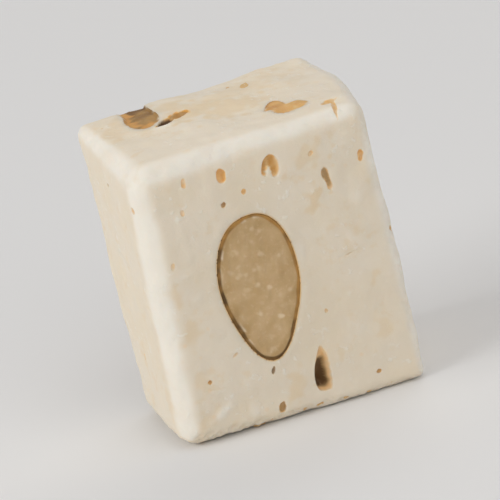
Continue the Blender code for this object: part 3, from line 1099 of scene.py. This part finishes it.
def skin_bands(nut, places, inset, around, seed):
    """How much of each place is skin, and how far from the rim the skin reaches."""
    if nut.broken:
        window = smooth_step(np.cos(bearing(around, nut.scorch)), -0.2, 0.7)
        width = SKIN_WIDTH[nut.kind] * window * (1 + 0.30 * waves(places, 0.9, seed + 4))
        return window * (1 - smooth_step(inset, 0.5 * width, width + 0.35)), width
    width = SKIN_WIDTH[nut.kind] * (1 + 0.15 * waves(places, 1.9, seed + 4)).clip(0.55)
    return 1 - smooth_step(inset, width - SKIN_EDGE, width + SKIN_EDGE), width


def pale_bands(nut, places, inset, around, width, seed):
    """Pale nougat in the gaps inside the skin, or smeared over the rim of a broken nut."""
    if nut.broken:
        ragged = inset + 0.10 * waves(places, 0.9, seed + 9)
        shown = smooth_step(waves(places, 1.8, seed + 7), -0.6, 0.8)
        for direction in nut.gaps:
            shown = np.maximum(shown, bell(bearing(around, direction), GAP_SPREAD))
        return 0.9 * (1 - smooth_step(ragged, *SMEARED_RIM)) * shown
    pale = np.zeros(len(places))
    for direction in nut.gaps:
        window = bell(bearing(around, direction), GAP_SPREAD)
        band = bell(inset - width - GAP_DISTANCE, GAP_WIDTH)
        broken_up = smooth_step(waves(places, 0.9, seed + 7), -1.2, 0.3)
        pale = np.maximum(pale, window * band * broken_up)
    return pale


def cut_face_finish(nut, places, inset, around):
    """Heights over a nut's cut face, and its tints."""
    seed = 60 + 10 * nut.number
    height = np.full(len(places), -nut.recess)
    rough = 1.0
    if nut.broken:
        height = -BROKEN_SINK - nut.recess * smooth_step(inset, 0.0, 0.5)
        rough = BROKEN_WAVES * smooth_step(inset, 0.0, 0.4)
    for number, (size, length) in enumerate(NUT_WAVES):
        height += rough * size * waves(places, length, seed + number)
    skin, width = skin_bands(nut, places, inset, around, seed)
    if not nut.broken:
        groove = bell(inset - width, GROOVE_WIDTH)
        height -= GROOVE * groove * smooth_step(waves(places, 2.2, seed + 5), -0.6, 0.8)
        height -= BEVEL * (1 - smooth_step(inset, 0, BEVEL_WIDTH))
    scorch = SCORCH + SCORCH * np.cos(bearing(around, nut.scorch))
    scorch += 0.14 * waves(places, 2.4, seed + 6) + 0.16 * waves(places, 0.9, seed + 3)
    speck = speck_strength(nut, places)
    height += SPECK_HEIGHT * speck
    rimward = bell(inset, RIMWARD_WIDTH) + 0.30 * waves(places, 1.3, seed + 8)
    if nut.broken:
        along = (places - nut.rim.centre) @ nut.rim.along / nut.rim.half_length
        rimward = 0.55 + 0.55 * along + 0.30 * waves(places, 1.5, seed + 8)
    if nut.node == "hazelnut_back":
        hollow = cavity(nut, places)
        height -= hollow
        skin = np.maximum(skin, smooth_step(hollow, 0.1, 0.9))
        scorch += smooth_step(hollow, 0.2, 1.0)
    return height, {
        "skin": skin,
        "scorch": scorch.clip(0, 1),
        "pale": pale_bands(nut, places, inset, around, width, seed),
        "speck": speck,
        "rimward": rimward.clip(0, 1),
    }


def cavity(nut, places):
    """Depth of the lens-shaped hollow in the middle of a hazelnut."""
    length, width, depth, turn = HAZELNUT_HOLLOW
    rim = nut.rim
    angle = math.radians(turn)
    along = rim.along * math.cos(angle) + rim.across * math.sin(angle)
    wobble = random_wobble(500, 0.06)
    hollow = Outline(rim.centre, along, rim.outward, length / 2, width / 2, wobble)
    level = hollow.measure(places)[0]
    return depth * np.sqrt((1 - level ** 2.4).clip(0))


def close_below(nut, points, cap, count):
    """Add the nut's body under its cut face. The rim is the first points."""
    rim = points[:count]
    middle = rim.mean(axis=0)
    rings = [points]
    tris = [cap]
    start = len(points)
    previous = np.arange(count)
    for ring in range(1, BODY_RINGS):
        angle = ring / BODY_RINGS * math.pi / 2
        below = nut.rim.outward * nut.depth * math.sin(angle)
        rings.append(middle + (rim - middle) * math.cos(angle) - below)
        current = start + np.arange(count)
        after, current_after = np.roll(previous, -1), np.roll(current, -1)
        tris.append(np.stack((previous, current, after), axis=1))
        tris.append(np.stack((after, current, current_after), axis=1))
        previous = current
        start += count
    rings.append((middle - nut.rim.outward * nut.depth)[None, :])
    bottom = np.full(count, start)
    tris.append(np.stack((previous, bottom, np.roll(previous, -1)), axis=1))
    return np.vstack(rings), np.vstack(tris)


# ---- crumbs of nut
CRUMB_SUNK = 0.22  # how deep a crumb's middle lies, as a share of its width
CRUMB_PROUD = 0.03  # how far its cut face stands over the nougat
CRUMB_WAVES = 0.12
CRUMB_TONE = 0.30  # of the named crumbs, from 0 for pale to 1 for brown
BALL_SUBDIVISIONS = 4


def ball():
    """Points and triangles of a ball of radius 1."""
    bm = bmesh.new()
    bmesh.ops.create_icosphere(bm, subdivisions=BALL_SUBDIVISIONS, radius=1.0)
    points = np.array([vertex.co for vertex in bm.verts])
    tris = np.array([[vertex.index for vertex in face.verts] for face in bm.faces])
    bm.free()
    return points, tris


def crumb_points(shape, rim, number):
    """One crumb: an uneven pebble, cut flush with the nougat."""
    uneven = 1 + CRUMB_WAVES * waves(shape, 1.0, 700 + number)
    body = shape * uneven[:, None] * (rim.half_length, rim.half_width, rim.half_width)
    body[:, 2] -= CRUMB_SUNK * 2 * rim.half_width
    top = CRUMB_PROUD * (1 + 0.5 * waves(shape, 0.4, 800 + number))
    body[:, 2] = np.minimum(body[:, 2], top)
    lift = relief(rim.centre[None, :], rim.outward[None, :])[0]
    axes = np.stack((rim.along, rim.across, rim.outward))
    return rim.centre + rim.outward * lift + body @ axes


def all_crumbs(clear):
    """Every crumb of nut as one joined mesh, with a random tone for each."""
    rng = np.random.default_rng(SEED + 60)
    rims = [face_outline(*row) for row in CRUMBS]
    for place in scattered(LOOSE_CRUMBS, rng, clear):
        length = rng.uniform(*CRUMB_LENGTH) ** CRUMB_POWER
        width = length * rng.uniform(*CRUMB_WIDTH)
        rims.append(face_outline(*place, length, width, rng.uniform(0, 180)))
    shape, faces = ball()
    points = np.vstack([crumb_points(shape, rim, number) for number, rim in enumerate(rims)])
    points[:, 2] = points[:, 2].clip(0)
    tris = np.vstack([faces + number * len(shape) for number in range(len(rims))])
    tones = rng.uniform(0, 1, len(rims))
    tones[:len(CRUMBS)] = CRUMB_TONE
    return points, tris, {"tone": np.repeat(tones, len(shape))}


# ---- objects
def add_piece(name, surface, material, slot, *nodes):
    """Make an object of the part from its points in millimetres, triangles and tints."""
    points, tris, tints = surface
    mesh = bpy.data.meshes.new(name)
    mesh.from_pydata((points * MM).tolist(), [], tris.tolist())
    for tint, values in tints.items():
        layer = mesh.attributes.new(tint, "FLOAT", "POINT")
        layer.data.foreach_set("value", values.astype(np.float32))
    mesh.shade_smooth()
    mesh.materials.append(material)
    item = add_object(name, mesh)
    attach(item, "root")
    if nodes:
        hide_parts(*nodes)


# ---- materials
SPECULAR = 0.35


class Look:
    """A procedural material: a Principled shader and helpers that add the nodes that feed it."""

    def __init__(self, name):
        self.material = bpy.data.materials.new(name)
        self.material.use_nodes = True
        self.tree = self.material.node_tree
        self.shader = self.tree.nodes["Principled BSDF"]
        self.place = self.add("ShaderNodeTexCoord").outputs["Object"]

    def add(self, kind, inputs=None, **settings):
        """A new node, with links or values for its inputs."""
        node = self.tree.nodes.new(kind)
        for name, value in settings.items():
            setattr(node, name, value)
        for name, value in (inputs or {}).items():
            if isinstance(value, bpy.types.NodeSocket):
                self.tree.links.new(value, node.inputs[name])
            else:
                node.inputs[name].default_value = value
        return node

    def noise(self, length, detail=3.0, seed=0.0, roughness=0.5):
        """Noise with features about that long, in millimetres."""
        inputs = {"Vector": self.place, "Scale": 1 / (length * MM), "Detail": detail,
                  "Roughness": roughness, "W": seed}
        return self.add("ShaderNodeTexNoise", inputs, noise_dimensions="4D").outputs["Fac"]

    def cells(self, length):
        """Distance to the nearest of scattered points, and a random colour for each."""
        inputs = {"Vector": self.place, "Scale": 1 / (length * MM)}
        node = self.add("ShaderNodeTexVoronoi", inputs)
        return node.outputs["Distance"], node.outputs["Color"]

    def tint(self, name):
        """A tint that the mesh carries."""
        return self.add("ShaderNodeAttribute", attribute_name=name).outputs["Fac"]

    def ramp(self, value, low, high, to_low=0.0, to_high=1.0):
        """Smooth change from to_low, where the value is low, to to_high."""
        inputs = {"Value": value, "From Min": low, "From Max": high,
                  "To Min": to_low, "To Max": to_high}
        node = self.add("ShaderNodeMapRange", inputs, interpolation_type="SMOOTHSTEP")
        return node.outputs["Result"]

    def maths(self, operation, first, second):
        node = self.add("ShaderNodeMath", {0: first, 1: second}, operation=operation)
        return node.outputs["Value"]

    def mix(self, share, first, second):
        """Colour between two colours."""
        inputs = {0: share, 6: first, 7: second}
        return self.add("ShaderNodeMix", inputs, data_type="RGBA").outputs[2]

    def bump(self, height, depth, strength, under=None):
        """Normal of a relief that deep, in millimetres, over another normal if any."""
        inputs = {"Height": height, "Distance": depth * MM, "Strength": strength}
        if under is not None:
            inputs["Normal"] = under
        return self.add("ShaderNodeBump", inputs).outputs["Normal"]

    def finish(self, colour, roughness, normal, scatter_radius, scatter_weight):
        """The finished material. Light scatters that far in it for red, green and blue."""
        links, sockets = self.tree.links, self.shader.inputs
        links.new(colour, sockets["Base Color"])
        links.new(roughness, sockets["Roughness"])
        links.new(normal, sockets["Normal"])
        sockets["Specular IOR Level"].default_value = SPECULAR
        sockets["Subsurface Weight"].default_value = scatter_weight
        sockets["Subsurface Radius"].default_value = scatter_radius
        sockets["Subsurface Scale"].default_value = MM
        return self.material


CREAM = (0.860, 0.768, 0.625, 1.0)
CREAM_WARM = (0.862, 0.750, 0.575, 1.0)
CREAM_YELLOW = (0.830, 0.670, 0.450, 1.0)
# pale nougat of the mealy flecks and raised smears, and of the painted sheen on the edges
CREAM_PALE = (0.945, 0.897, 0.810, 1.0)
# painted shade of the nougat round a nut
CREAM_SHADED_BY_NUT = (0.800, 0.700, 0.560, 1.0)
GOLD = (0.900, 0.600, 0.280, 1.0)
AMBER = (0.790, 0.395, 0.092, 1.0)
# painted shade in the hollows
SHADE_BROWN = (0.150, 0.078, 0.028, 1.0)


def nougat_look():
    """Cream nougat with warm patches, golden dots, mealy flecks and the tints of its mesh."""
    look = Look("nougat")
    warm = look.ramp(look.noise(9.0, 2.0, 1.0), 0.40, 0.66, 0.0, 0.70)
    colour = look.mix(warm, CREAM, CREAM_WARM)
    patches = look.ramp(look.noise(2.2, 3.0, 2.0, 0.6), 0.57, 0.72, 0.0, 0.42)
    # yellow stains, and the painted warm shade on the top
    patches = look.maths("MAXIMUM", patches, look.tint("stain_and_warm_shade"))
    colour = look.mix(patches, colour, CREAM_YELLOW)
    distance, chance = look.cells(1.7)
    dots = look.ramp(distance, 0.06, 0.24, 0.26, 0.0)
    some = look.ramp(look.add("ShaderNodeSeparateColor", {0: chance}).outputs[0], 0.70, 0.95)
    colour = look.mix(look.maths("MULTIPLY", dots, some), colour, GOLD)
    # painted shade round the nuts
    colour = look.mix(look.maths("MULTIPLY", look.tint("painted_shade_by_nut"), 0.55), colour, CREAM_SHADED_BY_NUT)
    # painted sheen on the rounded edges, and pale raised smears that are partly painted highlight
    colour = look.mix(look.maths("MULTIPLY", look.tint("sheen_and_flakes"), 0.80), colour, CREAM_PALE)
    mealy = look.ramp(look.noise(0.9, 2.0, 9.0, 0.55), 0.56, 0.70)
    mealy = look.maths("MULTIPLY", mealy, look.ramp(look.noise(6.0, 2.0, 10.0), 0.46, 0.62))
    colour = look.mix(look.maths("MULTIPLY", mealy, 0.50), colour, CREAM_PALE)
    # amber: oil from the nut skins, nut bits, and painted warm bounce light in the hollows
    amber = look.tint("amber")
    colour = look.mix(look.ramp(amber, 0.0, 0.50), colour, GOLD)
    colour = look.mix(look.ramp(amber, 0.40, 0.90), colour, AMBER)
    # painted shade in the bubbles, the crevice and the nut pockets
    colour = look.mix(look.tint("painted_shade"), colour, SHADE_BROWN)
    grain = look.noise(0.40, 4.0, 3.0, 0.6)
    drag = look.noise(1.5, 3.0, 4.0, 0.55)
    normal = look.bump(grain, 0.045, 0.75)
    normal = look.bump(drag, 0.080, 0.60, normal)
    normal = look.bump(mealy, 0.060, 0.70, normal)
    roughness = look.ramp(drag, 0.3, 0.7, 0.50, 0.64)
    return look.finish(colour, roughness, normal, (1.1, 0.95, 0.8), 0.45)


# Each kind: flesh, deeper flesh, pale speck, light skin, dark skin.
NUT_COLOURS = {
    "almond": ((0.640, 0.450, 0.240, 1), (0.520, 0.340, 0.150, 1), (0.800, 0.630, 0.410, 1),
               (0.470, 0.245, 0.062, 1), (0.110, 0.055, 0.012, 1)),
    "toasted": ((0.620, 0.360, 0.140, 1), (0.450, 0.230, 0.075, 1), (0.850, 0.660, 0.400, 1),
                (0.420, 0.200, 0.055, 1), (0.120, 0.055, 0.016, 1)),
    "roasted": ((0.820, 0.500, 0.185, 1), (0.640, 0.330, 0.100, 1), (0.870, 0.660, 0.360, 1),
                (0.700, 0.340, 0.090, 1), (0.560, 0.270, 0.075, 1)),
    "browned": ((0.450, 0.260, 0.085, 1), (0.210, 0.105, 0.028, 1), (0.540, 0.330, 0.130, 1),
                (0.760, 0.410, 0.120, 1), (0.640, 0.320, 0.085, 1)),
}
PALE_FILL = (0.830, 0.710, 0.530, 1.0)


def nut_look(kind):
    """Grainy cut flesh, deeper towards the skin, with specks, the skin and pale nougat."""
    flesh, deeper, speck, skin, dark_skin = NUT_COLOURS[kind]
    look = Look(kind + "_nut")
    mottle = look.ramp(look.noise(2.6, 3.0, 5.0), 0.40, 0.68, 0.0, 0.55)
    mottle = look.maths("MAXIMUM", mottle, look.tint("rimward"))
    colour = look.mix(mottle, flesh, deeper)
    grain = look.noise(0.50, 4.0, 6.0, 0.65)
    colour = look.mix(look.ramp(grain, 0.50, 0.75, 0.0, 0.35), colour, speck)
    colour = look.mix(look.tint("speck"), colour, speck)
    shell = look.mix(look.tint("scorch"), skin, dark_skin)
    colour = look.mix(look.tint("skin"), colour, shell)
    colour = look.mix(look.tint("pale"), colour, PALE_FILL)
    normal = look.bump(grain, 0.045, 0.70)
    normal = look.bump(look.noise(1.6, 3.0, 7.0), 0.070, 0.45, normal)
    roughness = look.ramp(grain, 0.3, 0.7, 0.44, 0.62)
    return look.finish(colour, roughness, normal, (0.9, 0.6, 0.3), 0.30)


def crumb_look():
    """Grainy nut, from pale over golden to brown by the tone of each crumb."""
    look = Look("nut_crumbs")
    pale, golden, brown = (0.800, 0.560, 0.280, 1), (0.700, 0.380, 0.120, 1), (0.360, 0.170, 0.050, 1)
    tone = look.tint("tone")
    colour = look.mix(look.ramp(tone, 0.0, 0.7), pale, golden)
    colour = look.mix(look.ramp(tone, 0.7, 1.0, 0.0, 0.8), colour, brown)
    grain = look.noise(0.35, 4.0, 8.0, 0.65)
    colour = look.mix(look.ramp(grain, 0.52, 0.72, 0.0, 0.5), colour, pale)
    normal = look.bump(grain, 0.050, 0.80)
    roughness = look.ramp(grain, 0.3, 0.7, 0.44, 0.62)
    return look.finish(colour, roughness, normal, (0.7, 0.5, 0.25), 0.30)


# ---- the scene around the piece
VIEW_AHEAD = Vector((0.2161, 0.9088, -0.3569))
VIEW_UP = Vector((0.2956, 0.2874, 0.9110))
VIEW_DISTANCE = 1000.0
VIEW_WIDTH = 63.5  # how much the picture takes in, at the piece
SENSOR = 36.0
MIDDLE = Vector((BOX_LOW + BOX_HIGH) / 2)


def turned_to(ahead, up):
    """Rotation of a camera or a light that looks ahead."""
    back = -ahead.normalized()
    right = up.cross(back).normalized()
    return Matrix((right, back.cross(right), back)).transposed().to_4x4()


def add_camera():
    camera = add_object("camera", bpy.data.cameras.new("camera"))
    camera.data.sensor_width = SENSOR
    camera.data.lens = SENSOR * VIEW_DISTANCE / VIEW_WIDTH
    camera.data.clip_end = 100.0
    place = (MIDDLE - VIEW_AHEAD.normalized() * VIEW_DISTANCE) * MM
    camera.matrix_world = Matrix.Translation(place) @ turned_to(VIEW_AHEAD, VIEW_UP)
    bpy.context.scene.camera = camera


# Each light: name, direction it comes from, distance and size in metres, power, colour.
LIGHTS = (
    ("key", (-0.85, -0.15, 0.50), 0.9, 0.60, 3.55, (1.0, 0.98, 0.95)),
    ("fill", (0.15, -0.80, 0.58), 1.1, 0.90, 2.15, (1.0, 0.99, 0.98)),
    ("rear", (0.40, 0.60, 0.70), 1.0, 0.70, 1.7, (1.0, 0.96, 0.90)),
    ("overhead", (0.20, -0.30, 0.93), 1.0, 0.45, 0.9, (1.0, 0.97, 0.92)),
)
SKY_COLOUR = (0.98, 0.98, 1.0, 1.0)
SKY_STRENGTH = 0.35


def add_lights():
    for name, direction, distance, size, power, colour in LIGHTS:
        data = bpy.data.lights.new(name, "AREA")
        data.size = size
        data.energy = power
        data.color = colour
        lamp = add_object(name, data)
        away = Vector(direction).normalized()
        place = MIDDLE * MM + away * distance
        lamp.matrix_world = Matrix.Translation(place) @ turned_to(-away, Vector((0, 0, 1)))
    world = bpy.data.worlds.new("studio")
    world.use_nodes = True
    sky = world.node_tree.nodes["Background"]
    sky.inputs["Color"].default_value = SKY_COLOUR
    sky.inputs["Strength"].default_value = SKY_STRENGTH
    bpy.context.scene.world = world
    bpy.context.scene.view_settings.view_transform = "Standard"


FLOOR_REACH = 3.0
FLOOR_COLOUR = (0.84, 0.84, 0.84, 1.0)
FLOOR_ROUGHNESS = 0.9


def add_floor():
    mesh = bpy.data.meshes.new("floor")
    corners = [(-1, -1, 0), (1, -1, 0), (1, 1, 0), (-1, 1, 0)]
    mesh.from_pydata([Vector(corner) * FLOOR_REACH for corner in corners], [], [(0, 1, 2, 3)])
    material = bpy.data.materials.new("floor")
    material.use_nodes = True
    shader = material.node_tree.nodes["Principled BSDF"]
    shader.inputs["Base Color"].default_value = FLOOR_COLOUR
    shader.inputs["Roughness"].default_value = FLOOR_ROUGHNESS
    mesh.materials.append(material)
    floor = add_object("floor", mesh)


# ---- the piece
nuts = [Nut(number, row) for number, row in enumerate(NUTS)]
bubbles = all_bubbles([nut.rim for nut in nuts])
smears = all_smears([piece.rim for piece in nuts + bubbles])
stains_and_warm_shade = [(face_outline(*row[:6]), row[6]) for row in STAINS_AND_WARM_SHADE]

add_piece("nougat", block_surface(), nougat_look(), "nougat", "nougat_block")
looks = {kind: nut_look(kind) for kind in NUT_COLOURS}
for nut in nuts:
    slot = "almond_flesh" if nut.node.startswith("almond") else "roasted_nut"
    add_piece(nut.node + "_nut", nut_surface(nut), looks[nut.kind], slot, nut.node)
rims = [piece.rim for piece in nuts + bubbles]
add_piece("nut_crumbs", all_crumbs(rims), crumb_look(), "roasted_nut")
add_floor()
add_lights()
add_camera()
